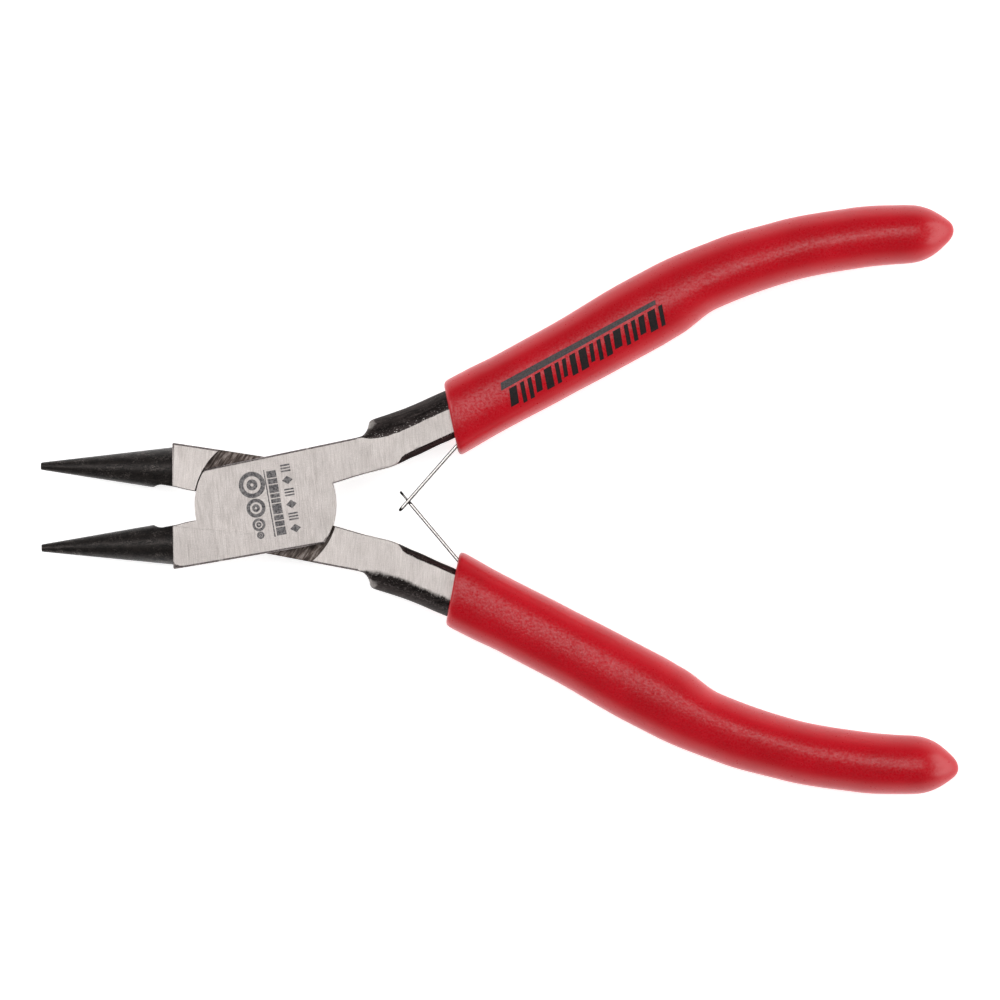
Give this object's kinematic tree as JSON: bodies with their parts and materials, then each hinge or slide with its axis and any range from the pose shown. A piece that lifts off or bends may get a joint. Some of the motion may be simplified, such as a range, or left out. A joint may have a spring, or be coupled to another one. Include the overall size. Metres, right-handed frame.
{
  "type": "round nose pliers",
  "caption": "Small round nose pliers with conical jaws, a flush pivot joint, red vinyl grips and interlocking leaf return springs.",
  "frame": {"origin": "on the pivot axis, at the joint's back face", "axes": "+X from the pivot towards the handles, midway between them; +Z out of the joint's front face; +Y towards the slotted lever's handle"},
  "size_m": [0.125, 0.0806, 0.01],
  "materials": {
    "ground_steel": "ground, with fine lines across the tool",
    "blackened_steel": "black oxide, satin",
    "pin_steel": "ground flush with the joint's faces",
    "red_vinyl": "dipped vinyl, semi-matt with a fine grain",
    "dark_print": "thin matt ink",
    "spring_steel": "bright rolled strip",
    "rivet_steel": "plain"
  },
  "bodies": {
    "outer_lever": {"outer_lever": "ground_steel", "pivot_pin": "pin_steel", "outer_lever_grip": "red_vinyl", "slotted_leaf_rivet": "rivet_steel"},
    "inner_lever": {"inner_lever": "ground_steel", "inner_lever_grip": "red_vinyl", "tongued_leaf_rivet": "rivet_steel"},
    "slotted_leaf": {"slotted_leaf_spring": "spring_steel"},
    "tongued_leaf": {"tongued_leaf_spring": "spring_steel"}
  },
  "joints": [
    {"name": "jaw_pivot", "type": "hinge", "parent": "outer_lever", "child": "inner_lever", "pos_m": [0, 0, 0.004], "axis": [0, 0, 1], "range_deg": [-5, 18.7], "stiffness_Nm_per_rad": 0.6},
    {"name": "slotted_leaf_flex", "type": "hinge", "parent": "outer_lever", "child": "slotted_leaf", "pos_m": [0.02785, 0.00967, 0.004], "axis": [0, 0, 1], "range_deg": [-18, 5], "deforming": ["slotted_leaf_spring"]},
    {"name": "tongued_leaf_flex", "type": "hinge", "parent": "inner_lever", "child": "tongued_leaf", "pos_m": [0.02785, -0.00967, 0.004], "axis": [0, 0, 1], "range_deg": [-5, 18], "deforming": ["tongued_leaf_spring"]}
  ],
  "couplings": [
    {"joint": "slotted_leaf_flex", "follows": "jaw_pivot", "ratio": -0.95},
    {"joint": "tongued_leaf_flex", "follows": "jaw_pivot", "ratio": 0.95}
  ]
}
